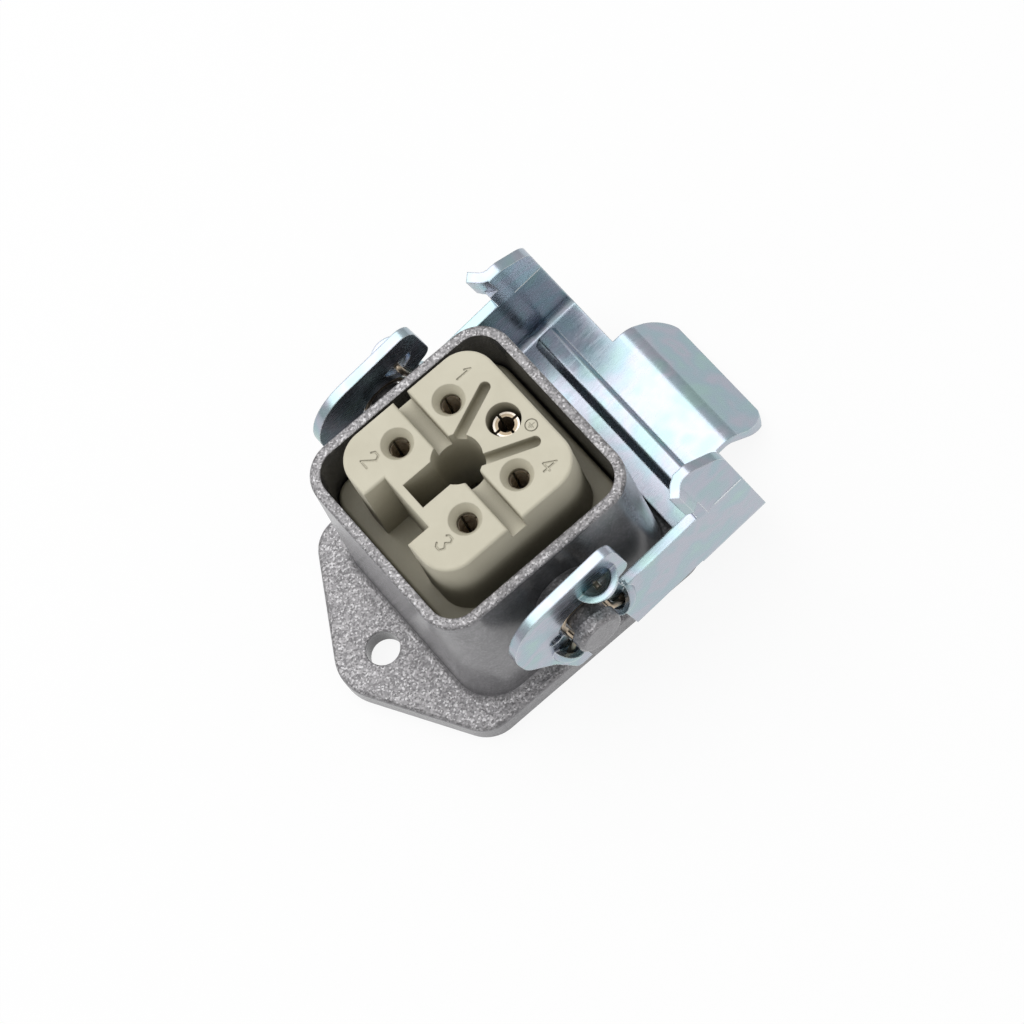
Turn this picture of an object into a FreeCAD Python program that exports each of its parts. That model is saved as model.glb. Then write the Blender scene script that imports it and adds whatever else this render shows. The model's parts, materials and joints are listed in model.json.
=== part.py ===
import FreeCAD, Part
import math
import os

# Panel housing of a heavy duty rectangular connector, with its locking lever and contact insert.
# Millimetres. Origin: middle of the flange underside. +Z is the mating direction,
# +X points to the lever's handle and +Y to one of its two hinge pegs.

V = FreeCAD.Vector
X_AXIS = V(1, 0, 0)
Y_AXIS = V(0, 1, 0)
Z_AXIS = V(0, 0, 1)
ORIGIN = V(0, 0, 0)

# General clearances
free_fit = 0.05
slip_gap = 0.10
overrun = 1.0
edge_search = 0.01
root_search = 0.2

# Flange
hole_pitch = 30.0
hole_radius = 1.65
flange_thick = 2.4
flange_half_width = 13.3
flange_tip_radius = 4.75
flange_slant = 30.0
flange_shoulder_radius = 3.5
flange_edge_round = 0.45

# Collar of the housing
rim_height = 21.0
rim_half = 11.1
rim_corner = 3.5
rim_wall = 1.0
rim_edge_round = 0.3
collar_draft = 2.0
collar_corner_growth = 0.7
collar_root_round = 0.8
cavity_draft = 1.0
ledge_height = 12.0
ledge_width = 0.55

# Tongue that carries the thread of the fixing screw
tongue_bottom = 4.2
tongue_top = 8.0
tongue_half_width = 2.25

# Hinge pegs
peg_height = 14.0
peg_neck_radius = 1.65
peg_head_radius = 2.3
peg_head_start = 15.8
peg_end = 17.1
peg_edge_round = 0.4
peg_boss_radius = 2.8
peg_boss_face = 12.5

# Seal in the underside of the flange
seal_inner_half = 10.4
seal_width = 1.4
seal_depth = 1.0
seal_corner = 3.0

# Insert tower and base
insert_top = 25.0
tower_half = 8.1
tower_corner = 3.0
tower_draft = 0.8
tower_top_round = 0.55
base_top = 15.0
base_side_gap = 0.1
base_corner = 2.2
base_top_round = 0.4
rear_bottom = 4.6
rear_half = 8.85
rear_corner = 2.0
rear_slot_gap = 0.1
earth_plate_thick = 0.6

# Face of the insert
well_radius = 2.35
seat_height = 11.0
keyway_end = 5.0
keyway_half_width = 1.42
keyway_floor = 15.0
notch_wall = 0.75
notch_half_width = 3.07
channel_half_width = 0.8
channel_depth = 2.0
groove_start = (1.5, 1.55)
groove_end = (6.05, 3.5)
groove_width = 1.05
groove_depth = 1.3
socket_x = 2.95
socket_y = 4.78
socket_hole_radius = 0.97
socket_cone_radius = 1.52
socket_cone_depth = 0.95
numeral_height = 1.5
numeral_width = 0.9
numeral_stroke = 0.17
numeral_depth = 0.1

# Contacts and their screw terminals
contact_top_depth = 1.3
contact_radius = 1.35
contact_bore_radius = 0.82
contact_bore_length = 8.0
contact_slot_width = 0.25
contact_slot_length = 3.8
block_half_x = 2.1
block_half_y = 1.7
block_bottom = 4.8
block_top = 10.0
wire_bore_radius = 1.15
wire_bore_top = 9.2
terminal_screw_height = 7.0
terminal_screw_radius = 1.0
terminal_head_radius = 1.55
terminal_head_length = 1.1
screw_slot_width = 0.4
screw_slot_depth = 0.5
leaf_thick = 0.3
leaf_half_width = 0.8
leaf_length = 3.2
leaf_offset = 0.45

# Earth contact
earth_x = 5.35
earth_well_radius = 1.6
earth_sleeve_radius = 1.2
earth_bore_radius = 0.75
earth_top_depth = 1.25
earth_bore_length = 8.0
earth_slot_width = 0.25
earth_slot_length = 4.0
earth_well_depth = 7.0
earth_foot_radius = 0.8
earth_foot_depth = 1.0
earth_block_half = 1.95
earth_block_bottom = 4.6
earth_plate_half_width = 1.9
earth_screw_height = 5.9

# Fixing screw and spring washer
fixing_radius = 1.5
fixing_head_radius = 2.15
fixing_head_height = 1.7
fixing_end = 4.6
fixing_slot_width = 0.6
fixing_slot_depth = 0.8
washer_thick = 0.6
washer_outer = 2.2
washer_split = 0.5

# Locking lever, in its own frame: origin on the hinge line, arms along +X
sheet = 1.0
lever_rest_angle = 8.5
arm_inner = 13.65
arm_top = -1.9
arm_bottom = -11.2
slot_half_width = 2.45
slot_top_radius = 2.9
claw_top = 7.3
claw_left = -7.1
claw_round = 5.1
finger_right = 6.0
finger_corner = 1.3
finger_bottom = 1.6
finger_slope = 0.6
finger_inner_round = 0.3
step_wall = 4.2
step_round = 0.4
end_root_round = 0.2
jaw_bottom = -9.0
jaw_outer = -4.0
jaw_round = 0.8
lobe_foot_inset = 2.0
lobe_foot_height = -4.2
lobe_foot_round = 3.0
lobe_side_height = -0.2
lobe_side_round = 4.0
rivet_hole_radius = 0.7
rivet_hole_place = (-3.3, 0.4)
end_left = 13.1
end_right = 18.4
end_top = 5.4
end_shoulder = 3.3
fold_height = -2.2
fold_lean = 7.2
fold_overlap = 0.01
lip_reach = 1.3
lip_start = 14.1
lip_bottom = 0.6
lip_bend_radius = 1.6
lip_overhang = 0.2
lip_zone_margin = 0.3
lip_root_height = 1.2
lip_under_slope = 40.0
lip_tip_rise = 0.3
lip_crest_start = 0.4
lip_crest_end = 2.4
lip_crest_round = 1.0
lip_crest_end_round = 1.5
end_shoulder_round = 2.0
web_start = 10.6
web_bottom = -13.0
bend_inner_radius = 0.8
web_edge_overlap = 0.5
ridge_start = 12.8
ridge_end = 15.4
ridge_height = 1.0
ridge_slope = 0.7
ridge_half_length = 12.5
ridge_groove_depth = 0.9
ridge_crest_round = 0.3
ridge_root = 0.2
tab_half_width = 7.5
tab_bend = 19.9
tab_end = 23.4
tab_drop = 4.4
tab_corner = 2.5
tab_bend_radius = 1.6
tab_root = 0.5
tab_trim = 0.5

# Pockets pressed out of the arms, which hold the springs
upper_pocket_place = (3.0, 4.3)
upper_pocket_radius = 2.25
lower_pocket_place = (3.0, 2.9)
lower_pocket_radius = 1.9
pocket_wall = 0.6
pocket_sink = 0.45
pocket_window_step = 0.1

# Wire springs
wire_radius = 0.3
arch_radius = 2.1
wire_bend = 0.6
arch_leg = 0.5


def corner(point, radius=0.0):
    return (V(*point), radius)


def rounded_edges(corners, closed=True):
    """Straight and round edges through the given corners, each rounded by its own radius."""
    count = len(corners)
    stretches = []
    for index, (point, radius) in enumerate(corners):
        is_end = not closed and index in (0, count - 1)
        if is_end or radius <= 0.0:
            stretches.append((point, None, point))
            continue
        back = (corners[index - 1][0] - point).normalize()
        ahead = (corners[(index + 1) % count][0] - point).normalize()
        half_angle = back.getAngle(ahead) / 2.0
        reach = radius / math.tan(half_angle)
        middle_way = (back + ahead).normalize()
        middle = point + middle_way * (radius / math.sin(half_angle) - radius)
        stretches.append((point + back * reach, middle, point + ahead * reach))
    edges = []
    last = count if closed else count - 1
    for index in range(count):
        start, middle, end = stretches[index]
        if middle is not None:
            edges.append(Part.Arc(start, middle, end).toShape())
        if index < last:
            following = stretches[(index + 1) % count][0]
            if (following - end).Length > 1e-6:
                edges.append(Part.makeLine(end, following))
    return edges


def outline_face(corners):
    return Part.Face(Part.Wire(rounded_edges(corners)))


def square_corners(half_x, half_y, radius, z, centre_x=0.0, centre_y=0.0):
    signs = ((1, 1), (-1, 1), (-1, -1), (1, -1))
    return [corner((centre_x + sx * half_x, centre_y + sy * half_y, z), radius) for sx, sy in signs]


def square_prism(half_x, half_y, radius, z0, z1, centre_x=0.0, centre_y=0.0):
    face = outline_face(square_corners(half_x, half_y, radius, z0, centre_x, centre_y))
    return face.extrude(V(0, 0, z1 - z0))


def tapered_square(half0, radius0, z0, half1, radius1, z1):
    low = Part.Wire(rounded_edges(square_corners(half0, half0, radius0, z0)))
    high = Part.Wire(rounded_edges(square_corners(half1, half1, radius1, z1)))
    return Part.makeLoft([low, high], True, True)


def box(x0, x1, y0, y1, z0, z1):
    return Part.makeBox(x1 - x0, y1 - y0, z1 - z0, V(x0, y0, z0))


def upright(radius, x, y, z0, z1):
    return Part.makeCylinder(radius, z1 - z0, V(x, y, z0), Z_AXIS)


def crosswise(radius, x, z, y0, y1):
    """Cylinder along Y between two distances from the middle plane, on the side of their sign."""
    way = Y_AXIS if y1 > y0 else Y_AXIS * -1.0
    return Part.makeCylinder(radius, abs(y1 - y0), V(x, y0, z), way)


def fillet_where(shape, radius, wanted):
    edges = [edge for edge in shape.Edges if wanted(edge.BoundBox)]
    return shape.makeFillet(radius, edges)


def at_height(z):
    return lambda bounds: abs(bounds.ZMin - z) < edge_search and abs(bounds.ZMax - z) < edge_search


def mirrored_y(shape):
    return shape.mirror(ORIGIN, Y_AXIS)


def screw(radius, length, head_radius, head_length, slot_width, slot_depth):
    """Slotted screw along +Z, with the underside of its head at the origin and its shank below."""
    shank = upright(radius, 0, 0, -length, 0)
    head = upright(head_radius, 0, 0, 0, head_length)
    head = fillet_where(head, head_length / 4.0, at_height(head_length))
    slot = box(-head_radius, head_radius, -slot_width / 2.0, slot_width / 2.0,
               head_length - slot_depth, head_length + overrun)
    return shank.fuse(head).cut(slot).removeSplitter()


parts = {}

# Housing casting
hole_x = hole_pitch / 2.0
slant = math.radians(flange_slant)
slant_distance = hole_x * math.cos(slant) + flange_tip_radius
flange_tip = slant_distance / math.cos(slant)
flange_shoulder = (slant_distance - flange_half_width * math.sin(slant)) / math.cos(slant)
cavity_half_rim = rim_half - rim_wall
cavity_half_ledge = cavity_half_rim - (rim_height - ledge_height) * math.tan(math.radians(cavity_draft))
lower_cavity_half = cavity_half_ledge - ledge_width


def collar_half(z):
    return rim_half + (rim_height - z) * math.tan(math.radians(collar_draft))


def make_flange():
    corners = [
        corner((flange_tip, 0, 0), flange_tip_radius),
        corner((flange_shoulder, flange_half_width, 0), flange_shoulder_radius),
        corner((-flange_shoulder, flange_half_width, 0), flange_shoulder_radius),
        corner((-flange_tip, 0, 0), flange_tip_radius),
        corner((-flange_shoulder, -flange_half_width, 0), flange_shoulder_radius),
        corner((flange_shoulder, -flange_half_width, 0), flange_shoulder_radius),
    ]
    plate = outline_face(corners).extrude(V(0, 0, flange_thick))
    return fillet_where(plate, flange_edge_round, at_height(flange_thick))


def make_peg(side):
    neck = crosswise(peg_neck_radius, 0, peg_height, side * cavity_half_rim, side * peg_head_start)
    head = crosswise(peg_head_radius, 0, peg_height, side * peg_head_start, side * peg_end)
    head = head.makeFillet(peg_edge_round, [edge for edge in head.Edges
                                            if abs(abs(edge.BoundBox.YMin) - peg_end) < edge_search
                                            and abs(abs(edge.BoundBox.YMax) - peg_end) < edge_search])
    boss = crosswise(peg_boss_radius, 0, peg_height, side * cavity_half_rim, side * peg_boss_face)
    return neck.fuse([head, boss])


def make_tongue():
    bar = box(-collar_half(tongue_top), 0, -tongue_half_width, tongue_half_width, tongue_bottom, tongue_top)
    return bar.fuse(upright(tongue_half_width, 0, 0, tongue_bottom, tongue_top))


def make_housing():
    foot_half = collar_half(0)
    collar = tapered_square(foot_half, rim_corner + collar_corner_growth, 0, rim_half, rim_corner, rim_height)
    body = make_flange().fuse(collar).removeSplitter()
    root = collar_half(flange_thick) + root_search
    body = fillet_where(body, collar_root_round, lambda bounds: at_height(flange_thick)(bounds)
                        and max(abs(bounds.XMin), abs(bounds.XMax)) < root
                        and max(abs(bounds.YMin), abs(bounds.YMax)) < root)
    body = fillet_where(body, rim_edge_round, at_height(rim_height))
    body = body.fuse([make_peg(1), make_peg(-1)])
    inner_corner = rim_corner - rim_wall
    upper = tapered_square(cavity_half_ledge, inner_corner, ledge_height,
                           cavity_half_rim, inner_corner, rim_height + free_fit)
    lower = square_prism(lower_cavity_half, lower_cavity_half, inner_corner, -overrun, ledge_height)
    body = body.cut([upper, lower])
    body = body.fuse(make_tongue().common(square_prism(foot_half - ledge_width, foot_half - ledge_width,
                                                       inner_corner, 0, ledge_height)))
    thread = upright(fixing_radius + free_fit, 0, 0, tongue_bottom - overrun, tongue_top + overrun)
    holes = [upright(hole_radius, side * hole_x, 0, -overrun, flange_thick + overrun) for side in (1, -1)]
    groove = make_seal_ring(0.0)
    return body.cut([thread, groove] + holes).removeSplitter()


def make_seal_ring(gap):
    outer = seal_inner_half + seal_width - gap
    inner = seal_inner_half + gap
    ring = square_prism(outer, outer, seal_corner, 0, seal_depth)
    return ring.cut(square_prism(inner, inner, seal_corner - seal_width, -overrun, seal_depth + overrun))


parts["housing"] = make_housing()
parts["flange_seal"] = make_seal_ring(free_fit)

# Contact insert
socket_places = ((1, 1), (-1, 1), (-1, -1), (1, -1))
notch_inner = keyway_end + notch_wall
centre_underside = tongue_top + earth_plate_thick
rear_slot_half = tongue_half_width + rear_slot_gap
contact_top = insert_top - contact_top_depth
cone_bottom = insert_top - socket_cone_depth
earth_top = insert_top - earth_top_depth
earth_well_floor = insert_top - earth_well_depth

numeral_strokes = {
    "1": [((-0.3, 0.65), (0.05, 1.0)), ((0.05, 1.0), (0.05, 0.0))],
    "2": [((-0.5, 0.75), (-0.25, 1.0)), ((-0.25, 1.0), (0.25, 1.0)), ((0.25, 1.0), (0.5, 0.72)),
          ((0.5, 0.72), (-0.5, 0.0)), ((-0.5, 0.0), (0.5, 0.0))],
    "3": [((-0.45, 0.85), (-0.2, 1.0)), ((-0.2, 1.0), (0.25, 1.0)), ((0.25, 1.0), (0.45, 0.77)),
          ((0.45, 0.77), (0.1, 0.53)), ((0.1, 0.53), (0.5, 0.28)), ((0.5, 0.28), (0.25, 0.0)),
          ((0.25, 0.0), (-0.25, 0.0)), ((-0.25, 0.0), (-0.5, 0.18))],
    "4": [((0.2, 0.0), (0.2, 1.0)), ((0.2, 1.0), (-0.5, 0.33)), ((-0.5, 0.33), (0.5, 0.33))],
}
numeral_places = (("1", 5.5, 5.8), ("2", -5.6, 5.3), ("3", -5.65, -5.2), ("4", 5.55, -6.0))
earth_mark_place = (6.8, -2.1)
earth_mark_radius = 0.6


def engraved_stroke(start, end, top, width, depth):
    way = V(end[0] - start[0], end[1] - start[1], 0)
    run = box(0, way.Length, -width / 2.0, width / 2.0, top - depth, top + overrun)
    run.rotate(ORIGIN, Z_AXIS, math.degrees(math.atan2(way.y, way.x)))
    run.translate(V(start[0], start[1], 0))
    return run.fuse(upright(width / 2.0, end[0], end[1], top - depth, top + overrun))


def engraved_marks():
    marks = []
    for name, x, y in numeral_places:
        for ends in numeral_strokes[name]:
            start, end = [(x + (up - 0.5) * numeral_height, y - across * numeral_width)
                          for across, up in ends]
            marks.append(engraved_stroke(start, end, insert_top, numeral_stroke, numeral_depth))
    x, y = earth_mark_place
    floor = insert_top - numeral_depth
    ring = upright(earth_mark_radius, x, y, floor, insert_top + overrun)
    inner = earth_mark_radius - numeral_stroke / 2.0
    marks.append(ring.cut(upright(inner, x, y, floor, insert_top + overrun)))
    return marks


def socket_cutter(x, y):
    cone = Part.makeCone(socket_hole_radius, socket_cone_radius, socket_cone_depth,
                         V(x, y, cone_bottom), Z_AXIS)
    hole = upright(socket_hole_radius, x, y, contact_top, insert_top)
    bore = upright(contact_radius + free_fit, x, y, block_top - overrun, contact_top)
    return cone.fuse([hole, bore])


def terminal_chamber(side_x, side_y):
    x = side_x * socket_x
    y = side_y * socket_y
    reach = block_half_y + free_fit
    chamber = box(x - block_half_x - free_fit, x + block_half_x + free_fit,
                  y - reach, y + reach, rear_bottom - overrun, block_top)
    door = crosswise(terminal_head_radius + slip_gap, x, terminal_screw_height,
                     y, side_y * (rear_half + overrun))
    return chamber.fuse(door)


def groove_cutter(side):
    x0, y0 = groove_start
    x1, y1 = groove_end
    length = math.hypot(x1 - x0, y1 - y0)
    radius = groove_width / 2.0
    floor = insert_top - groove_depth
    straight = box(0, length, -radius, radius, floor + radius, insert_top + overrun)
    floor_round = Part.makeCylinder(radius, length, V(0, 0, floor + radius), X_AXIS)
    ends = [upright(radius, x, 0, floor + radius, insert_top + overrun) for x in (0, length)]
    balls = [Part.makeSphere(radius, V(x, 0, floor + radius)) for x in (0, length)]
    slot = straight.fuse([floor_round] + ends + balls)
    slot.rotate(ORIGIN, Z_AXIS, math.degrees(math.atan2(y1 - y0, x1 - x0)))
    slot.translate(V(x0, y0, 0))
    return slot if side > 0 else mirrored_y(slot)


def make_insert():
    tower_growth = (insert_top - base_top) * math.tan(math.radians(tower_draft))
    tower = tapered_square(tower_half + tower_growth, tower_corner + tower_growth, base_top - overrun,
                           tower_half, tower_corner, insert_top)
    channel = box(-channel_half_width, channel_half_width, -rear_half - overrun, rear_half + overrun,
                  insert_top - channel_depth, insert_top + overrun)
    notch = box(-rear_half - overrun, -notch_inner, -notch_half_width, notch_half_width,
                base_top, insert_top + overrun)
    tower = tower.cut([channel, notch])
    tower = fillet_where(tower, tower_top_round / 2.0, at_height(insert_top))
    base_half = cavity_half_ledge - base_side_gap
    base = square_prism(base_half, base_half, base_corner, ledge_height, base_top)
    base = fillet_where(base, base_top_round, at_height(base_top))
    rear = square_prism(rear_half, rear_half, rear_corner, rear_bottom, ledge_height)
    rear_slot = box(-rear_half - overrun, rear_half + overrun, -rear_slot_half, rear_slot_half,
                    rear_bottom - overrun, centre_underside)
    body = base.fuse([tower, rear.cut(rear_slot)]).removeSplitter()
    well = upright(well_radius, 0, 0, seat_height, insert_top + overrun)
    screw_way = upright(fixing_radius + slip_gap, 0, 0, centre_underside - overrun, seat_height)
    keyway = box(-keyway_end, 0, -keyway_half_width, keyway_half_width, keyway_floor, insert_top + overrun)
    earth_well = upright(earth_well_radius, earth_x, 0, earth_well_floor, insert_top + overrun)
    earth_way = upright(earth_sleeve_radius + free_fit, earth_x, 0,
                        centre_underside - overrun, earth_well_floor)
    cutters = [well, screw_way, keyway, earth_well, earth_way, groove_cutter(1), groove_cutter(-1)]
    for side_x, side_y in socket_places:
        cutters.append(socket_cutter(side_x * socket_x, side_y * socket_y))
        cutters.append(terminal_chamber(side_x, side_y))
    return body.cut(cutters).cut(engraved_marks()).removeSplitter()


parts["insert_body"] = make_insert()


# Socket contacts with their screw terminals
def slotted_sleeve(radius, bore_radius, bore_length, slot_width, slot_length, x, y, bottom, top):
    sleeve = upright(radius, x, y, bottom, top)
    bore = upright(bore_radius, x, y, top - bore_length, top + overrun)
    half = slot_width / 2.0
    reach = radius + overrun
    slots = [box(x - half, x + half, y - reach, y + reach, top - slot_length, top + overrun),
             box(x - reach, x + reach, y - half, y + half, top - slot_length, top + overrun)]
    return sleeve.cut([bore] + slots)


def make_contact(side_x, side_y):
    x = side_x * socket_x
    y = side_y * socket_y
    sleeve = slotted_sleeve(contact_radius, contact_bore_radius, contact_bore_length,
                            contact_slot_width, contact_slot_length, x, y, block_top, contact_top)
    block = box(x - block_half_x, x + block_half_x, y - block_half_y, y + block_half_y,
                block_bottom, block_top)
    wire_bore = upright(wire_bore_radius, x, y, block_bottom - overrun, wire_bore_top)
    thread = crosswise(terminal_screw_radius + free_fit, x, terminal_screw_height,
                       y, y + side_y * (block_half_y + overrun))
    return sleeve.fuse(block).cut([wire_bore, thread]).removeSplitter()


def make_terminal_screw(side_x, side_y):
    x = side_x * socket_x
    y = side_y * socket_y
    length = block_half_y - leaf_offset - leaf_thick
    item = screw(terminal_screw_radius, length, terminal_head_radius, terminal_head_length,
                 screw_slot_width, screw_slot_depth)
    item.rotate(ORIGIN, X_AXIS, -90.0 * side_y)
    item.translate(V(x, y + side_y * block_half_y, terminal_screw_height))
    return item


def make_leaf(side_x, side_y):
    x = side_x * socket_x
    near = side_y * (socket_y + leaf_offset)
    far = side_y * (socket_y + leaf_offset + leaf_thick)
    half = leaf_length / 2.0
    return box(x - leaf_half_width, x + leaf_half_width, min(near, far), max(near, far),
               terminal_screw_height - half, terminal_screw_height + half)


for number, (side_x, side_y) in enumerate(socket_places, start=1):
    parts["contact_%d" % number] = make_contact(side_x, side_y)
    parts["terminal_screw_%d" % number] = make_terminal_screw(side_x, side_y)
    parts["clamp_leaf_%d" % number] = make_leaf(side_x, side_y)


# Earth contact, with its plate and terminal
def make_earth_contact():
    sleeve = slotted_sleeve(earth_sleeve_radius, earth_bore_radius, earth_bore_length,
                            earth_slot_width, earth_slot_length, earth_x, 0, centre_underside, earth_top)
    foot = upright(earth_foot_radius, earth_x, 0, tongue_top - earth_foot_depth, centre_underside)
    return sleeve.fuse(foot).removeSplitter()


def make_earth_plate():
    start = -tongue_half_width
    end = earth_x + earth_block_half
    plate = box(start, end, -earth_plate_half_width, earth_plate_half_width, tongue_top, centre_underside)
    holes = [upright(fixing_radius + slip_gap, 0, 0, tongue_top - overrun, centre_underside + overrun),
             upright(earth_foot_radius + free_fit, earth_x, 0,
                     tongue_top - overrun, centre_underside + overrun)]
    return plate.cut(holes)


def make_earth_terminal():
    block = box(earth_x - earth_block_half, earth_x + earth_block_half,
                -earth_block_half, earth_block_half, earth_block_bottom, tongue_top)
    foot_hole = upright(earth_foot_radius + free_fit, earth_x, 0,
                        tongue_top - earth_foot_depth, tongue_top + overrun)
    wire_bore = upright(wire_bore_radius, earth_x, 0, earth_block_bottom - overrun,
                        tongue_top - earth_foot_depth)
    thread = Part.makeCylinder(terminal_screw_radius + free_fit, earth_block_half + overrun,
                               V(earth_x, 0, earth_screw_height), X_AXIS)
    return block.cut([foot_hole, wire_bore, thread])


def make_earth_screw():
    item = screw(terminal_screw_radius, earth_block_half - leaf_offset, terminal_head_radius,
                 terminal_head_length, screw_slot_width, screw_slot_depth)
    item.rotate(ORIGIN, Y_AXIS, 90.0)
    item.translate(V(earth_x + earth_block_half, 0, earth_screw_height))
    return item


parts["earth_contact"] = make_earth_contact()
parts["earth_plate"] = make_earth_plate()
parts["earth_terminal"] = make_earth_terminal()
parts["earth_screw"] = make_earth_screw()


# Fixing screw and its spring washer at the bottom of the central well
def make_fixing_screw():
    head_seat = seat_height + washer_thick
    item = screw(fixing_radius, head_seat - fixing_end, fixing_head_radius, fixing_head_height,
                 fixing_slot_width, fixing_slot_depth)
    item.translate(V(0, 0, head_seat))
    return item


def make_spring_washer():
    ring = upright(washer_outer, 0, 0, seat_height, seat_height + washer_thick)
    hole = upright(fixing_radius + free_fit, 0, 0,
                   seat_height - overrun, seat_height + washer_thick + overrun)
    split = box(0, washer_outer + overrun, -washer_split / 2.0, washer_split / 2.0,
                seat_height - overrun, seat_height + washer_thick + overrun)
    return ring.cut([hole, split])


parts["fixing_screw"] = make_fixing_screw()
parts["spring_washer"] = make_spring_washer()

# Locking lever, bent from one sheet
arm_outer = arm_inner + sheet
web_top = web_bottom + sheet
lower_pocket_angle = math.degrees(math.atan2(-lower_pocket_place[1], lower_pocket_place[0]))


def sheet_section(points, thick, to_space):
    """Closed face of a bent strip: its middle line is given as (u, v, bend radius)."""
    count = len(points)
    ways = []
    for (u0, v0, _), (u1, v1, _) in zip(points, points[1:]):
        length = math.hypot(u1 - u0, v1 - v0)
        ways.append(((u1 - u0) / length, (v1 - v0) / length))
    rows = {1: [], -1: []}
    for index, (u, v, radius) in enumerate(points):
        before = ways[max(index - 1, 0)]
        after = ways[min(index, count - 2)]
        turn = before[0] * after[1] - before[1] * after[0]
        scale = 1.0 / (1.0 + before[0] * after[0] + before[1] * after[1])
        normal = (-(before[1] + after[1]) * scale, (before[0] + after[0]) * scale)
        for side in (1, -1):
            offset = side * thick / 2.0
            grown = radius - offset if turn > 0 else radius + offset
            place = to_space(u + normal[0] * offset, v + normal[1] * offset)
            rows[side].append((place, max(grown, 0.0) if radius > 0 else 0.0))
    return outline_face(rows[1] + rows[-1][::-1])


def arm_corners():
    return [
        corner((claw_left, 0, claw_top), claw_round),
        corner((finger_right, 0, claw_top), finger_corner),
        corner((finger_right, 0, finger_bottom), finger_corner),
        corner((step_wall, 0, finger_bottom - finger_slope), finger_inner_round),
        corner((step_wall, 0, arm_top), step_round),
        corner((end_left, 0, arm_top), end_root_round),
        corner((end_left, 0, fold_height + fold_overlap)),
        corner((end_right, 0, fold_height + fold_overlap)),
        corner((end_right, 0, arm_bottom)),
        corner((0, 0, arm_bottom)),
        corner((0, 0, jaw_bottom)),
        corner((jaw_outer, 0, jaw_bottom), jaw_round),
        corner((claw_left + lobe_foot_inset, 0, lobe_foot_height), lobe_foot_round),
        corner((claw_left, 0, lobe_side_height), lobe_side_round),
    ]


def pocket_half(place, radius, turn_to):
    """Half ball on the outer face of an arm; the half that lies towards turn_to is kept."""
    x, z = place
    ball = Part.makeSphere(radius, V(0, arm_outer - pocket_sink, 0))
    keep = box(0, 2 * radius, arm_outer - pocket_sink - radius, arm_outer + 2 * radius,
               -2 * radius, 2 * radius)
    half = ball.common(keep)
    half.rotate(ORIGIN, Y_AXIS, -turn_to)
    half.translate(V(x, 0, z))
    return half


def add_pocket(arm, place, radius, turn_to):
    x, z = place
    hollow_radius = radius - pocket_wall
    shell = pocket_half(place, radius, turn_to)
    outer_side = box(x - 2 * radius, x + 2 * radius, arm_outer - sheet / 2.0, arm_outer + 2 * radius,
                     z - 2 * radius, z + 2 * radius)
    hollow = pocket_half(place, hollow_radius, turn_to)
    window_radius = math.sqrt(hollow_radius ** 2 - pocket_sink ** 2) - pocket_window_step
    window = crosswise(window_radius, 0, 0, arm_inner - overrun, arm_outer)
    window = window.common(box(0, 2 * radius, 0, arm_outer + overrun, -2 * radius, 2 * radius))
    window.rotate(ORIGIN, Y_AXIS, -turn_to)
    window.translate(V(x, 0, z))
    return arm.fuse(shell.common(outer_side)).cut([hollow, window])


def make_end_wing():
    """Upper part of the arm's end: it leans inwards, and its front edge turns out as a lip."""
    wing_reach = 2 * (end_top - fold_height)
    middle = sheet / 2.0
    section = sheet_section([(end_right, middle, 0.0), (lip_start, middle, lip_bend_radius),
                             (end_left - lip_overhang, middle + lip_reach, 0.0)],
                            sheet, lambda u, v: V(u, v, 0))
    wing = section.extrude(V(0, 0, end_top - fold_height))
    straight = box(end_left, end_right, 0, sheet, 0, end_top - fold_height)
    lip_height = lip_bottom - fold_height
    lip_zone = box(end_left - 2 * lip_reach, lip_start + lip_zone_margin, -sheet, 2 * lip_reach + sheet,
                   lip_height, wing_reach)
    lip_cut = box(-wing_reach, wing_reach, 0, wing_reach, -wing_reach, 0)
    lip_cut.rotate(ORIGIN, X_AXIS, lip_under_slope)
    lip_cut.translate(V(end_left, sheet, lip_height))
    lip = wing.common(lip_zone).cut(lip_cut)
    straight = straight.cut(box(end_left - overrun, lip_start, -sheet, 2 * sheet,
                                lip_height + lip_root_height, wing_reach))
    side = [
        corner((end_left - 3 * lip_reach, 0, 0)),
        corner((end_left - 3 * lip_reach, 0, end_top - fold_height + lip_tip_rise)),
        corner((end_left + lip_crest_start, 0, end_top - fold_height), lip_crest_round),
        corner((end_left + lip_crest_end, 0, end_top - fold_height), lip_crest_end_round),
        corner((end_right, 0, end_shoulder - fold_height), end_shoulder_round),
        corner((end_right, 0, 0)),
    ]
    profile = outline_face(side).extrude(V(0, 2 * wing_reach, 0))
    profile.translate(V(0, -wing_reach, 0))
    wing = straight.fuse(lip).fuse(wing.common(box(lip_start, end_right, -sheet, 2 * sheet, 0, wing_reach)))
    wing = wing.common(profile)
    wing.translate(V(0, -sheet, 0))
    wing.rotate(ORIGIN, X_AXIS, fold_lean)
    wing.translate(V(0, arm_outer, fold_height))
    return wing


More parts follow.
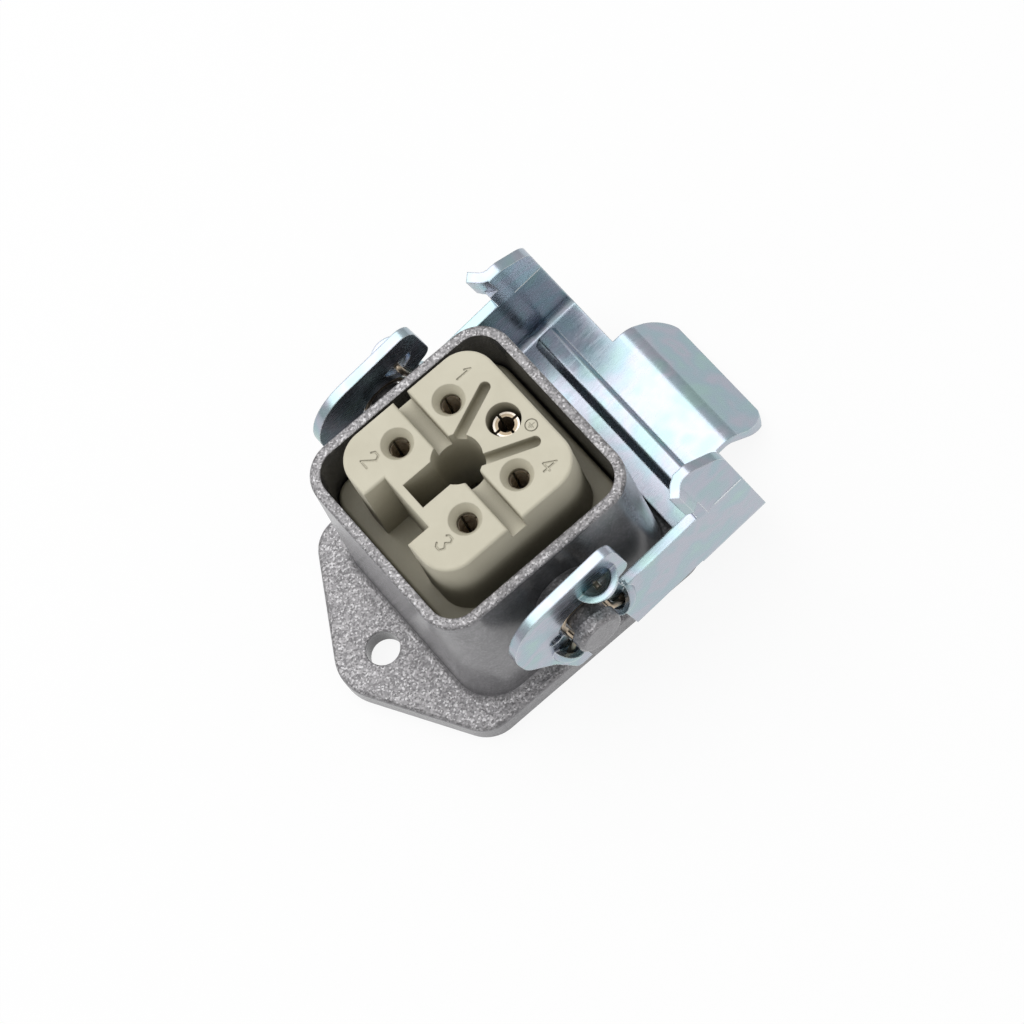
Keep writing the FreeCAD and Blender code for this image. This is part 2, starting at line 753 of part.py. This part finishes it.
def make_arm():
    plate = outline_face(arm_corners()).extrude(V(0, sheet, 0))
    plate.translate(V(0, arm_inner, 0))
    slot = box(-slot_half_width, slot_half_width, arm_inner - overrun, arm_outer + overrun,
               arm_bottom - overrun, slot_top_radius / 2.0)
    slot = slot.fuse(crosswise(slot_top_radius, 0, 0, arm_inner - overrun, arm_outer + overrun))
    below = box(-slot_top_radius, slot_top_radius, arm_inner - 2 * overrun, arm_outer + 2 * overrun,
                -slot_top_radius - overrun, 0)
    keep = box(-slot_half_width, slot_half_width, arm_inner - overrun, arm_outer + overrun,
               arm_bottom - overrun, 0)
    slot = slot.cut(below).fuse(keep)
    rivet_hole = crosswise(rivet_hole_radius, rivet_hole_place[0], rivet_hole_place[1],
                           arm_inner - overrun, arm_outer + overrun)
    plate = plate.cut([slot, rivet_hole])
    plate = add_pocket(plate, upper_pocket_place, upper_pocket_radius, -90.0)
    x, z = lower_pocket_place
    plate = add_pocket(plate, (x, -z), lower_pocket_radius, lower_pocket_angle)
    plate = add_pocket(plate, (-x, -z), lower_pocket_radius, 180.0 - lower_pocket_angle)
    return plate.fuse(make_end_wing())


def make_web():
    middle = arm_inner + sheet / 2.0
    floor = web_bottom + sheet / 2.0
    bend = bend_inner_radius + sheet / 2.0
    section = sheet_section([(-middle, arm_bottom + web_edge_overlap, 0.0), (-middle, floor, bend),
                             (middle, floor, bend), (middle, arm_bottom + web_edge_overlap, 0.0)],
                            sheet, lambda u, v: V(web_start, u, v))
    trough = section.extrude(V(end_right - web_start, 0, 0))
    ridge_corners = [
        corner((ridge_start, 0, web_top - ridge_root)),
        corner((ridge_start, 0, web_top)),
        corner((ridge_start + ridge_slope, 0, web_top + ridge_height), ridge_crest_round),
        corner((ridge_end - ridge_slope / 2.0, 0, web_top + ridge_height), ridge_crest_round),
        corner((ridge_end, 0, web_top)),
        corner((ridge_end, 0, web_top - ridge_root)),
    ]
    ridge = outline_face(ridge_corners).extrude(V(0, 2 * ridge_half_length, 0))
    ridge.translate(V(0, -ridge_half_length, 0))
    groove_half = ridge_half_length - ridge_slope
    groove = box(ridge_start + ridge_slope, ridge_end - ridge_slope / 2.0, -groove_half, groove_half,
                 web_bottom - overrun, web_bottom + ridge_groove_depth)
    return trough.fuse(ridge).cut(groove)


def make_tab():
    floor = web_bottom + sheet / 2.0
    section = sheet_section([(end_right - tab_root, floor, 0.0), (tab_bend, floor, tab_bend_radius),
                             (tab_end, floor - tab_drop, 0.0)], sheet, lambda u, v: V(u, 0, v))
    tab = section.extrude(V(0, 2 * tab_half_width, 0))
    tab.translate(V(0, -tab_half_width, 0))
    plan = [
        corner((end_right - overrun, tab_half_width, 0)),
        corner((end_right - overrun, -tab_half_width, 0)),
        corner((tab_end + tab_trim, -tab_half_width, 0), tab_corner),
        corner((tab_end + tab_trim, tab_half_width, 0), tab_corner),
    ]
    trim = outline_face(plan).extrude(V(0, 0, 4 * tab_drop))
    trim.translate(V(0, 0, web_bottom - 2 * tab_drop))
    return tab.common(trim)


def to_rest(shape):
    """From the lever's own frame to its open rest place."""
    placed = shape.copy()
    placed.rotate(ORIGIN, Y_AXIS, -lever_rest_angle)
    placed.translate(V(0, 0, peg_height))
    return placed


def make_lever():
    arm = make_arm()
    return make_web().fuse([arm, mirrored_y(arm), make_tab()]).removeSplitter()


# Wire springs: an arch round the peg, one end in a lower pocket, the other in the upper pocket
arch_y = arm_inner + sheet / 2.0
leg_y = arm_outer + wire_radius + free_fit
back_y = arm_inner - wire_radius - free_fit
leg_turn = -1.9
tuck_x = 3.4
tuck_z = -3.3
tail_x = 2.8
tail_z = 3.5


def make_spring():
    left = [
        corner((-arch_radius, arch_y, 0)),
        corner((-arch_radius, arch_y, -arch_leg), wire_bend),
        corner((-arch_radius, leg_y, leg_turn), wire_bend),
        corner((-tuck_x, leg_y, tuck_z)),
    ]
    right = [
        corner((arch_radius, arch_y, 0)),
        corner((arch_radius, arch_y, -arch_leg), wire_bend),
        corner((arch_radius, leg_y, leg_turn), wire_bend),
        corner((tuck_x, leg_y, tuck_z), wire_bend),
        corner((tuck_x, back_y, tuck_z), wire_bend),
        corner((tail_x, back_y, tail_z), wire_bend),
        corner((tail_x, arm_outer + wire_radius, tail_z)),
    ]
    left_edges = rounded_edges(left, closed=False)
    right_edges = rounded_edges(right, closed=False)
    arch = Part.Arc(V(-arch_radius, arch_y, 0), V(0, arch_y, arch_radius), V(arch_radius, arch_y, 0))
    arch = arch.toShape()
    path = Part.Wire(Part.__sortEdges__(left_edges + [arch] + right_edges))
    start = V(-tuck_x, leg_y, tuck_z)
    way = V(-arch_radius, leg_y, leg_turn) - start
    section = Part.Wire([Part.makeCircle(wire_radius, start, way)])
    return path.makePipeShell([section], True, True)


lever = make_lever()
spring = make_spring()
parts["lever"] = to_rest(lever)
parts["lever_spring_back"] = to_rest(spring)
parts["lever_spring_front"] = to_rest(mirrored_y(spring))

os.makedirs("parts", exist_ok=True)
for name, shape in parts.items():
    solids = shape.Solids
    print(name, "valid", shape.isValid(), "solids", len(solids), "volume", round(shape.Volume, 3))
    solid = solids[0] if len(solids) == 1 else shape
    solid.exportStep("parts/%s.step" % name)
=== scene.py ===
import json
import math
import bpy
from mathutils import Matrix, Vector


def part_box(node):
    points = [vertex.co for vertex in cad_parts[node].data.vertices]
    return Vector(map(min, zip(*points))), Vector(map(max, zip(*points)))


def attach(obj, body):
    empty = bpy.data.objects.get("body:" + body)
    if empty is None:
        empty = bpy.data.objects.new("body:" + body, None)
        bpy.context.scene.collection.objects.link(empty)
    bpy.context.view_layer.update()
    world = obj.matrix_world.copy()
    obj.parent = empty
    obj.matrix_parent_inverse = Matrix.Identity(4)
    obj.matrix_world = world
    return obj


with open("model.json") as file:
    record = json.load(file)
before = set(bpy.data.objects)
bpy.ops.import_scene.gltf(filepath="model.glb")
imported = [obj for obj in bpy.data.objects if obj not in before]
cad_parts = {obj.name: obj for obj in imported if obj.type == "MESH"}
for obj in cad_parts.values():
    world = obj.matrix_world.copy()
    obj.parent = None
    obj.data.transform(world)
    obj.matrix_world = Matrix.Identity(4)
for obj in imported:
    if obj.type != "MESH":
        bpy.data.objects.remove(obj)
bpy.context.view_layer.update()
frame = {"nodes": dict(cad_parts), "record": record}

MM = 0.001
NODES = frame["nodes"]

# Camera: the photograph's place, turn and lens, solved from the flange, the rim and the holes
CAMERA_PLACE = Vector((-22.24, -113.07, 287.97)) * MM
CAMERA_RIGHT = Vector((0.75846, -0.62456, -0.18619))
CAMERA_DOWN = Vector((-0.64681, -0.68640, -0.33240))
CAMERA_LOOK = Vector((0.07981, 0.37254, -0.92458))
CAMERA_LENS = 116.39
CAMERA_SENSOR = 36.0
CAMERA_NEAR = 0.01
CAMERA_FAR = 10.0

# Studio: strengths are radiances, where 1 is white. The sky goes from its horizon's value to its
# top's as the height of the way looked at goes from 0 to SKY_RISE, where 1 is straight up.
SOFTBOX_WAY = Vector((-0.19, 0.37, 0.91))
SOFTBOX_DISTANCE = 0.45
SOFTBOX_SIZE = 0.52
SOFTBOX_RADIANCE = 1.7
SKY_HORIZON = 0.55
SKY_TOP = 0.75
SKY_RISE = 0.8
WHITE = (1.0, 1.0, 1.0, 1.0)
FLOOR_GLOW = 0.9
FLOOR_HALF = 1.5
FLOOR_LEVEL = -0.02 * MM
FLOOR_ROUGHNESS = 0.9

# Top of the insert, and the earth mark on it; each bar is its distance down and half its length
INSERT_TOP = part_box("insert_body")[1].z
EARTH_MARK_PLACE = Vector((6.8, -2.1, 0.0)) * MM
EARTH_MARK_STEM = 0.36 * MM
EARTH_MARK_BARS = ((0.0, 0.32 * MM), (0.14 * MM, 0.2 * MM), (0.28 * MM, 0.09 * MM))
EARTH_MARK_WIDTH = 0.09 * MM
EARTH_MARK_FLATTEN = 0.44

# Axis of the earth contact, and the ring where its brown countersink turns into the bright rim
EARTH_AXIS = (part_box("earth_contact")[0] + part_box("earth_contact")[1]) / 2.0
EARTH_RIM = (0.98 * MM, 1.06 * MM)

# The lever's own frame, and the crease across each of its end plates
LEVER_REST_TURN = math.radians(8.5)
HINGE_HEIGHT = 14.0 * MM
FOLD_HEIGHT = -2.2 * MM
FOLD_REACH = (15.0 * MM, 18.2 * MM)
FOLD_FRONT = 14.65 * MM
FOLD_BACK = 13.65 * MM
FOLD_WIDTH = 0.14 * MM
LINE_ROUNDNESS = 2

# Masks and ramps: most of a noise lies between its low and high value; the ranges are what a mask
# reads, the reach is how far a gap's walls shade it, and the stretches draw a noise out in lines
NOISE_LOW = 0.3
NOISE_HIGH = 0.7
FACING_RANGE = (0.2, 0.8)
EDGE_RANGE = (0.94, 0.80)
OPENNESS_RANGE = (0.15, 0.58)
SHADE_REACH = 5.0 * MM
SHADE_SAMPLES = 8
BEVEL_SAMPLES = 4
STEEL_DARKER = 0.82
SHEET_STREAKS = 0.18
SHEET_HIGHLIGHT_EDGE = 0.14 * MM
ALONG_SHEET = (0.05, 1.0, 1.0)
ALONG_WIRE = (1.0, 1.0, 0.15)

# Grains or waves per metre
CAST_GRAINS = 6200.0
CAST_CLOUDS = 900.0
SHEET_TINTS = 240.0
SHEET_BRUSH = 2600.0
INSERT_CLOUDS = 260.0
INSERT_PORES = 5200.0
CONTACT_STAINS = 1400.0
WIRE_DRAW_LINES = 3800.0
STEEL_TURNING = 2400.0
RUBBER_DUST = 1800.0
MARK_CLOUDS = 900.0
PAPER_FIBRES = 400.0

# Sockets of the Mix node, which gives its inputs the same names for every kind of data
MIX_FACTOR = 0
MIX_NUMBERS = (2, 3)
MIX_COLOURS = (6, 7)
MIX_NUMBER_RESULT = 0
MIX_COLOUR_RESULT = 2


class Shader:
    """A material with its nodes added and joined by short calls."""

    def __init__(self, name):
        self.material = bpy.data.materials.new(name)
        self.material.use_nodes = True
        self.nodes = self.material.node_tree.nodes
        self.links = self.material.node_tree.links
        self.surface = self.nodes["Principled BSDF"]

    def node(self, kind, **settings):
        node = self.nodes.new(kind)
        for key, value in settings.items():
            setattr(node, key, value)
        return node

    def join(self, source, target):
        self.links.new(source, target)

    def feed(self, value, socket):
        """Joins a socket to another one, or sets it to a colour or a number."""
        if isinstance(value, bpy.types.NodeSocket):
            self.join(value, socket)
        elif isinstance(value, tuple):
            socket.default_value = (*value, 1.0)
        else:
            socket.default_value = value

    def place(self, stretch=(1.0, 1.0, 1.0)):
        """Object coordinates in metres, times the given factor along each axis."""
        coordinates = self.node("ShaderNodeTexCoord")
        mapping = self.node("ShaderNodeMapping")
        mapping.inputs["Scale"].default_value = stretch
        self.join(coordinates.outputs["Object"], mapping.inputs["Vector"])
        return mapping.outputs["Vector"]

    def noise(self, scale, detail=3.0, roughness=0.6, stretch=(1.0, 1.0, 1.0)):
        """Soft grey clouds, or lines where the stretch makes them long along one axis."""
        noise = self.node("ShaderNodeTexNoise")
        noise.inputs["Scale"].default_value = scale
        noise.inputs["Detail"].default_value = detail
        noise.inputs["Roughness"].default_value = roughness
        self.join(self.place(stretch), noise.inputs["Vector"])
        return noise.outputs["Fac"]

    def grains(self, scale):
        """A random grey per grain."""
        cells = self.node("ShaderNodeTexVoronoi")
        cells.inputs["Scale"].default_value = scale
        self.join(self.place(), cells.inputs["Vector"])
        split = self.node("ShaderNodeSeparateColor")
        self.join(cells.outputs["Color"], split.inputs["Color"])
        return split.outputs["Red"]

    def ramp(self, source, stops):
        ramp = self.node("ShaderNodeValToRGB")
        elements = ramp.color_ramp.elements
        while len(elements) < len(stops):
            elements.new(0.5)
        for element, (position, colour) in zip(elements, stops):
            element.position = position
            element.color = (*colour, 1.0)
        self.join(source, ramp.inputs["Fac"])
        return ramp.outputs["Color"]

    def tones(self, noise, dark, light):
        """Colours from dark to light over the values that a noise mostly has."""
        return self.ramp(noise, [(NOISE_LOW, dark), (NOISE_HIGH, light)])

    def mix(self, factor, first, second):
        mix = self.node("ShaderNodeMix", data_type="RGBA")
        self.feed(factor, mix.inputs[MIX_FACTOR])
        for colour, socket in zip((first, second), MIX_COLOURS):
            self.feed(colour, mix.inputs[socket])
        return mix.outputs[MIX_COLOUR_RESULT]

    def remap(self, source, read, give=(0.0, 1.0)):
        """Turns one range of numbers into another, and stays inside it."""
        remap = self.node("ShaderNodeMapRange")
        self.join(source, remap.inputs["Value"])
        for name, value in zip(("From Min", "From Max", "To Min", "To Max"), (*read, *give)):
            remap.inputs[name].default_value = value
        return remap.outputs["Result"]

    def spread(self, noise, low, high):
        """Numbers from low to high over the values that a noise mostly has."""
        return self.remap(noise, (NOISE_LOW, NOISE_HIGH), (low, high))

    def facing_up(self, wall=0.0, top=1.0):
        """One number on walls and another on faces that look up."""
        geometry = self.node("ShaderNodeNewGeometry")
        split = self.node("ShaderNodeSeparateXYZ")
        self.join(geometry.outputs["Normal"], split.inputs["Vector"])
        return self.remap(split.outputs["Z"], FACING_RANGE, (wall, top))

    def soft_normal(self, radius):
        soft = self.node("ShaderNodeBevel", samples=BEVEL_SAMPLES)
        soft.inputs["Radius"].default_value = radius
        return soft.outputs["Normal"]

    def edge_mask(self, radius):
        """1 along the edges, 0 on the faces."""
        dot = self.node("ShaderNodeVectorMath", operation="DOT_PRODUCT")
        geometry = self.node("ShaderNodeNewGeometry")
        self.join(self.soft_normal(radius), dot.inputs[0])
        self.join(geometry.outputs["Normal"], dot.inputs[1])
        return self.remap(dot.outputs["Value"], EDGE_RANGE)

    def painted_gap_shade(self, colour, dark):
        """Paints shade into a colour: darker in gaps and corners, where nearby walls close it in."""
        hollow = self.node("ShaderNodeAmbientOcclusion", samples=SHADE_SAMPLES)
        hollow.inputs["Distance"].default_value = SHADE_REACH
        return self.mix(self.remap(hollow.outputs["AO"], OPENNESS_RANGE), dark, colour)

    def relief(self, height, strength, distance=0.01 * MM, edge_radius=0.0):
        """Fine bump from a height, over edges that look rounded by the given radius."""
        bump = self.node("ShaderNodeBump")
        bump.inputs["Distance"].default_value = distance
        bump.inputs["Strength"].default_value = strength
        self.join(height, bump.inputs["Height"])
        if edge_radius > 0.0:
            self.join(self.soft_normal(edge_radius), bump.inputs["Normal"])
        self.join(bump.outputs["Normal"], self.surface.inputs["Normal"])

    def finish(self, colour, roughness, metallic):
        for name, value in (("Base Color", colour), ("Roughness", roughness), ("Metallic", metallic)):
            self.feed(value, self.surface.inputs[name])
        return self.material


def cast_metal():
    """Grey powder coat with painted light: its grain lighter and stronger where it looks up, as if lit
    from above, plainer and glossier on the walls; painted shade in its gaps.
    """
    shader = Shader("cast_metal")
    grain = shader.grains(CAST_GRAINS)
    cloud = shader.noise(CAST_CLOUDS)
    speckle = shader.ramp(grain, [(0.0, (0.11, 0.105, 0.108)), (0.35, (0.20, 0.195, 0.20)),
                                  (0.8, (0.34, 0.33, 0.335)), (1.0, (0.60, 0.59, 0.60))])
    smooth = shader.tones(cloud, (0.17, 0.168, 0.176), (0.22, 0.217, 0.226))
    # Painted light: faces that look up take the lighter speckle, as if lit from above; walls keep the
    # plain darker tone
    top_lit_speckle = shader.mix(shader.facing_up(wall=0.18, top=0.85), smooth, speckle)
    # Painted shade: the coat goes towards near black in gaps and corners
    colour = shader.painted_gap_shade(top_lit_speckle, (0.06, 0.06, 0.06))
    shader.relief(grain, strength=0.5, distance=0.02 * MM, edge_radius=0.25 * MM)
    return shader.finish(colour, roughness=shader.facing_up(wall=0.24, top=0.40), metallic=0.5)


def plated_sheet():
    """Zinc plate with a faint blue, pink and green tint, brush lines, and a painted highlight along its
    edges.
    """
    shader = Shader("plated_sheet")
    sheen = shader.noise(SHEET_TINTS, detail=2.0)
    tint = shader.ramp(sheen, [(0.30, (0.35, 0.50, 0.49)), (0.42, (0.35, 0.45, 0.51)),
                               (0.55, (0.44, 0.44, 0.52)), (0.66, (0.36, 0.46, 0.50)),
                               (0.78, (0.35, 0.50, 0.48))])
    brush = shader.noise(SHEET_BRUSH, detail=4.0, roughness=0.7, stretch=ALONG_SHEET)
    streak = shader.ramp(brush, [(0.35, (0.33, 0.42, 0.45)), (0.65, (0.46, 0.57, 0.59))])
    face = shader.mix(SHEET_STREAKS, tint, streak)
    # Painted highlight: a pale colour along the sheet's edges, where its rims would catch the light
    colour = shader.mix(shader.edge_mask(SHEET_HIGHLIGHT_EDGE), face, (0.78, 0.82, 0.83))
    rough = shader.spread(brush, 0.20, 0.32)
    shader.relief(brush, strength=0.10, edge_radius=0.20 * MM)
    return shader.finish(colour, rough, metallic=1.0)


def insert_plastic():
    """Warm grey moulded plastic with fine pores."""
    shader = Shader("insert_plastic")
    cloud = shader.noise(INSERT_CLOUDS)
    plain = shader.tones(cloud, (0.485, 0.455, 0.355), (0.53, 0.50, 0.395))
    # Painted shade: the plastic goes dark brown in gaps and corners
    colour = shader.painted_gap_shade(plain, (0.20, 0.18, 0.125))
    pores = shader.noise(INSERT_PORES, roughness=0.7)
    rough = shader.spread(pores, 0.48, 0.62)
    shader.relief(pores, strength=0.35, edge_radius=0.15 * MM)
    return shader.finish(colour, rough, metallic=0.0)


def contact_metal():
    """Stained contact alloy: its end faces are shaded by the socket, its bore catches the light."""
    shader = Shader("contact_metal")
    stain = shader.noise(CONTACT_STAINS)
    bore = shader.ramp(stain, [(0.3, (0.36, 0.28, 0.18)), (0.5, (0.62, 0.53, 0.40)),
                               (0.8, (0.85, 0.78, 0.66))])
    colour = shader.mix(shader.facing_up(), bore, (0.085, 0.068, 0.045))
    shader.relief(stain, strength=0.2)
    return shader.finish(colour, shader.spread(stain, 0.30, 0.46), metallic=0.7)


def earth_metal():
    """Bright rim and brown countersink round the axis of the earth contact."""
    shader = Shader("earth_contact_metal")
    stain = shader.noise(CONTACT_STAINS)
    brown = shader.tones(stain, (0.22, 0.17, 0.11), (0.40, 0.33, 0.24))
    bright = shader.tones(stain, (0.66, 0.58, 0.48), (0.84, 0.79, 0.72))
    coordinates = shader.node("ShaderNodeTexCoord")
    from_axis = shader.node("ShaderNodeVectorMath", operation="SUBTRACT")
    from_axis.inputs[1].default_value = EARTH_AXIS
    flat = shader.node("ShaderNodeVectorMath", operation="MULTIPLY")
    flat.inputs[1].default_value = (1.0, 1.0, 0.0)
    radius = shader.node("ShaderNodeVectorMath", operation="LENGTH")
    shader.join(coordinates.outputs["Object"], from_axis.inputs[0])
    shader.join(from_axis.outputs["Vector"], flat.inputs[0])
    shader.join(flat.outputs["Vector"], radius.inputs[0])
    colour = shader.mix(shader.remap(radius.outputs["Value"], EARTH_RIM), brown, bright)
    shader.relief(stain, strength=0.2)
    return shader.finish(colour, shader.spread(stain, 0.28, 0.42), metallic=0.85)


def spring_wire():
    """Drawn wire with fine lines and a tan cast."""
    shader = Shader("spring_wire")
    draw_lines = shader.noise(WIRE_DRAW_LINES, stretch=ALONG_WIRE)
    colour = shader.tones(draw_lines, (0.34, 0.27, 0.20), (0.58, 0.49, 0.38))
    shader.relief(draw_lines, strength=0.3, distance=0.005 * MM)
    return shader.finish(colour, roughness=0.32, metallic=1.0)


def bright_steel(name, tone):
    """Turned or pressed steel of the given tone, darker in its marks."""
    shader = Shader(name)
    turned = shader.noise(STEEL_TURNING)
    colour = shader.tones(turned, tuple(value * STEEL_DARKER for value in tone), tone)
    shader.relief(turned, strength=0.2, edge_radius=0.05 * MM)
    return shader.finish(colour, shader.spread(turned, 0.24, 0.40), metallic=1.0)


def seal_rubber():
    """Black rubber with a little dust."""
    shader = Shader("seal_rubber")
    dust = shader.noise(RUBBER_DUST, detail=4.0, roughness=0.7)
    colour = shader.tones(dust, (0.018, 0.018, 0.019), (0.032, 0.032, 0.033))
    shader.relief(dust, strength=0.4, distance=0.02 * MM)
    return shader.finish(colour, shader.spread(dust, 0.6, 0.8), metallic=0.0)


def mark_plastic():
    """The insert's plastic as it looks in the shade of the fine earth mark."""
    shader = Shader("mark_plastic")
    cloud = shader.noise(MARK_CLOUDS, detail=2.0, roughness=0.5)
    colour = shader.tones(cloud, (0.27, 0.25, 0.19), (0.33, 0.31, 0.24))
    return shader.finish(colour, roughness=0.6, metallic=0.0)


def dress_nodes():
    """Gives every CAD node the finish of its slot, and the earth contact its own."""
    materials = {
        "cast_metal": cast_metal(),
        "plated_sheet": plated_sheet(),
        "spring_wire": spring_wire(),
        "insert_plastic": insert_plastic(),
        "contact_metal": contact_metal(),
        "screw_steel": bright_steel("screw_steel", (0.58, 0.57, 0.53)),
        "leaf_steel": bright_steel("leaf_steel", (0.62, 0.62, 0.60)),
        "seal_rubber": seal_rubber(),
    }
    dressed = {entry["node"]: materials[entry["material_slot"]] for entry in frame["record"]["subparts"]}
    dressed["earth_contact"] = earth_metal()
    for node, material in dressed.items():
        for slot in NODES[node].material_slots:
            slot.material = material


def add_object(name, data):
    thing = bpy.data.objects.new(name, data)
    bpy.context.scene.collection.objects.link(thing)
    return thing


def raised_line(name, points, width, body, material, place=(0.0, 0.0, 0.0), flatten=1.0):
    """A raised straight line with a crowned section and closed ends."""
    curve = bpy.data.curves.new(name, "CURVE")
    curve.dimensions = "3D"
    curve.bevel_depth = width / 2.0
    curve.bevel_resolution = LINE_ROUNDNESS
    curve.use_fill_caps = True
    spline = curve.splines.new("POLY")
    spline.points.add(len(points) - 1)
    for target, point in zip(spline.points, points):
        target.co = (*point, 1.0)
    curve.materials.append(material)
    piece = add_object(name, curve)
    piece.location = place
    piece.scale = (1.0, 1.0, flatten)
    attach(piece, body)


def earth_mark():
    """The earth sign inside its ring: one stem and three bars, upright towards +X."""
    material = mark_plastic()
    x, y, z = EARTH_MARK_PLACE
    strokes = {"earth_mark_stem": [(x, y, z), (x + EARTH_MARK_STEM, y, z)]}
    for index, (down, half) in enumerate(EARTH_MARK_BARS, start=1):
        strokes["earth_mark_bar_%d" % index] = [(x - down, y - half, z), (x - down, y + half, z)]
    for name, points in strokes.items():
        raised_line(name, points, EARTH_MARK_WIDTH, "base", material,
                    (0.0, 0.0, INSERT_TOP), EARTH_MARK_FLATTEN)


def from_lever(along, across, up):
    """A point of the lever's own frame, in metres, placed in the object's frame at rest."""
    cosine = math.cos(LEVER_REST_TURN)
    sine = math.sin(LEVER_REST_TURN)
    return (along * cosine - up * sine, across, HINGE_HEIGHT + along * sine + up * cosine)


def fold_lines():
    """The crease across each end plate of the lever, where its upper part leans inwards, drawn as a
    raised line in pale steel: a painted highlight along the fold.
    """
    material = bright_steel("crease_highlight_steel", (0.84, 0.88, 0.90))
    for name, across in (("fold_line_front", -FOLD_FRONT), ("fold_line_back", FOLD_BACK)):
        ends = [from_lever(along, across, FOLD_HEIGHT) for along in FOLD_REACH]
        raised_line(name, ends, FOLD_WIDTH, "lever", material)


def add_camera():
    data = bpy.data.cameras.new("camera")
    data.lens = CAMERA_LENS
    data.sensor_width = CAMERA_SENSOR
    data.clip_start = CAMERA_NEAR
    data.clip_end = CAMERA_FAR
    camera = add_object("camera", data)
    turn = Matrix((CAMERA_RIGHT, -CAMERA_DOWN, -CAMERA_LOOK)).transposed()
    camera.matrix_world = Matrix.Translation(CAMERA_PLACE) @ turn.to_4x4()
    bpy.context.scene.camera = camera


def add_softbox():
    """A square lamp overhead and behind, which faces the middle of the object's foot."""
    data = bpy.data.lights.new("softbox", "AREA")
    data.shape = "SQUARE"
    data.size = SOFTBOX_SIZE
    data.energy = math.pi * SOFTBOX_SIZE ** 2 * SOFTBOX_RADIANCE
    lamp = add_object("softbox", data)
    way = SOFTBOX_WAY.normalized()
    lamp.location = way * SOFTBOX_DISTANCE
    lamp.rotation_euler = way.to_track_quat("Z", "Y").to_euler()


def add_sky():
    """Pale room light, brighter overhead; plain white where the camera looks past the floor."""
    world = bpy.data.worlds.new("studio")
    bpy.context.scene.world = world
    world.use_nodes = True
    nodes = world.node_tree.nodes
    links = world.node_tree.links
    background = nodes["Background"]
    background.inputs["Color"].default_value = WHITE
    coordinates = nodes.new("ShaderNodeTexCoord")
    split = nodes.new("ShaderNodeSeparateXYZ")
    height = nodes.new("ShaderNodeMapRange")
    for name, value in (("From Max", SKY_RISE), ("To Min", SKY_HORIZON), ("To Max", SKY_TOP)):
        height.inputs[name].default_value = value
    path = nodes.new("ShaderNodeLightPath")
    white = nodes.new("ShaderNodeMix")
    room, seen = MIX_NUMBERS
    white.inputs[seen].default_value = 1.0
    links.new(coordinates.outputs["Generated"], split.inputs["Vector"])
    links.new(split.outputs["Z"], height.inputs["Value"])
    links.new(path.outputs["Is Camera Ray"], white.inputs[MIX_FACTOR])
    links.new(height.outputs["Result"], white.inputs[room])
    links.new(white.outputs[MIX_NUMBER_RESULT], background.inputs["Strength"])


def floor_paper():
    """Pale paper that glows where the camera or a reflection sees it, and keeps its shadow."""
    shader = Shader("floor_paper")
    fibre = shader.noise(PAPER_FIBRES)
    shader.finish(shader.tones(fibre, (0.79, 0.79, 0.79), (0.81, 0.81, 0.81)), FLOOR_ROUGHNESS, 0.0)
    glow = shader.node("ShaderNodeEmission")
    path = shader.node("ShaderNodeLightPath")
    seen = shader.node("ShaderNodeMath", operation="ADD", use_clamp=True)
    share = shader.node("ShaderNodeMath", operation="MULTIPLY")
    share.inputs[1].default_value = FLOOR_GLOW
    blend = shader.node("ShaderNodeMixShader")
    for index, ray in enumerate(("Is Camera Ray", "Is Glossy Ray")):
        shader.join(path.outputs[ray], seen.inputs[index])
    shader.join(seen.outputs[0], share.inputs[0])
    shader.join(share.outputs[0], blend.inputs[0])
    shader.join(shader.surface.outputs["BSDF"], blend.inputs[1])
    shader.join(glow.outputs["Emission"], blend.inputs[2])
    shader.join(blend.outputs[0], shader.nodes["Material Output"].inputs["Surface"])
    return shader.material


def add_floor():
    corners = [(across * FLOOR_HALF, along * FLOOR_HALF, FLOOR_LEVEL)
               for across, along in ((-1, -1), (1, -1), (1, 1), (-1, 1))]
    mesh = bpy.data.meshes.new("floor")
    mesh.from_pydata(corners, [], [range(len(corners))])
    mesh.materials.append(floor_paper())
    floor = add_object("floor", mesh)


dress_nodes()
earth_mark()
fold_lines()
add_camera()
add_softbox()
add_sky()
add_floor()
bpy.context.scene.view_settings.view_transform = "Standard"
